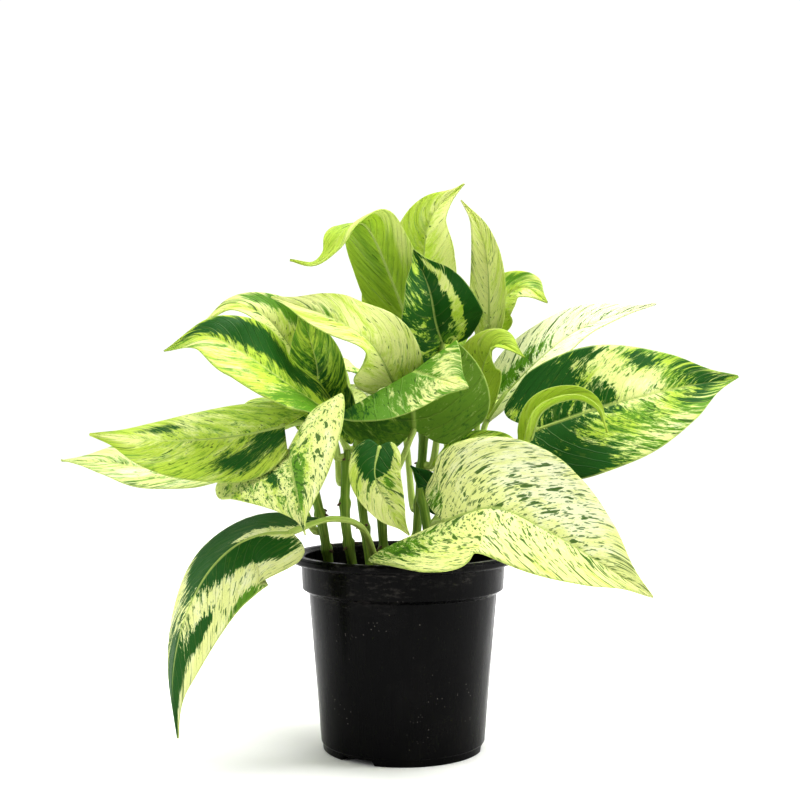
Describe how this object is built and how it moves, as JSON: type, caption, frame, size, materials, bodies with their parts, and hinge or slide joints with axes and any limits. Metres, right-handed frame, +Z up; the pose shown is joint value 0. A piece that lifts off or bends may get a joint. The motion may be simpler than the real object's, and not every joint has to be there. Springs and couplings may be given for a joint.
{
  "type": "potted pothos plant",
  "caption": "Marbled pothos with cream and green heart-shaped leaves on short vines, rooted in potting mix in a black plastic nursery pot.",
  "frame": {"origin": "middle of the pot's base, on the surface that it stands on", "axes": "+Z up along the pot's axis, -Y towards the front of the plant, +X to the right seen from the front"},
  "size_m": [0.3583, 0.212, 0.3093],
  "materials": {
    "pot": "moulded black plastic, satin, dusted with mix near the lip",
    "soil": "damp dark peat and bark crumbs",
    "vine": "smooth green living stem",
    "leaf": "waxy living leaf marbled in cream and green"
  },
  "bodies": {
    "root": {"nursery_pot": "pot", "potting_mix": "soil", "vine_1": "vine", "vine_2": "vine", "vine_3": "vine", "vine_4": "vine", "vine_5": "vine", "vine_6": "vine", "vine_7": "vine", "vine_8": "vine", "leaf_front_right": "leaf", "leaf_right": "leaf", "leaf_young_right": "leaf", "leaf_right_pale": "leaf", "leaf_centre_curled": "leaf", "leaf_centre_folded": "leaf", "leaf_front_left": "leaf", "leaf_left": "leaf", "leaf_left_low": "leaf", "leaf_left_upper": "leaf", "leaf_left_inner": "leaf", "leaf_left_high": "leaf", "leaf_middle_left": "leaf", "leaf_top_hook": "leaf", "leaf_middle_dark": "leaf", "leaf_top_back": "leaf", "leaf_top_right": "leaf", "leaf_right_high": "leaf", "leaf_front_hanging": "leaf", "leaf_low_left": "leaf", "leaf_small_dark": "leaf", "leaf_right_speckled": "leaf", "leaf_inner_grey": "leaf", "leaf_inner_yellow": "leaf", "leaf_back_left": "leaf", "leaf_back_middle": "leaf", "leaf_back_right": "leaf", "leaf_back_high": "leaf", "leaf_back_low": "leaf", "leaf_back_left_high": "leaf"}
  },
  "joints": []
}
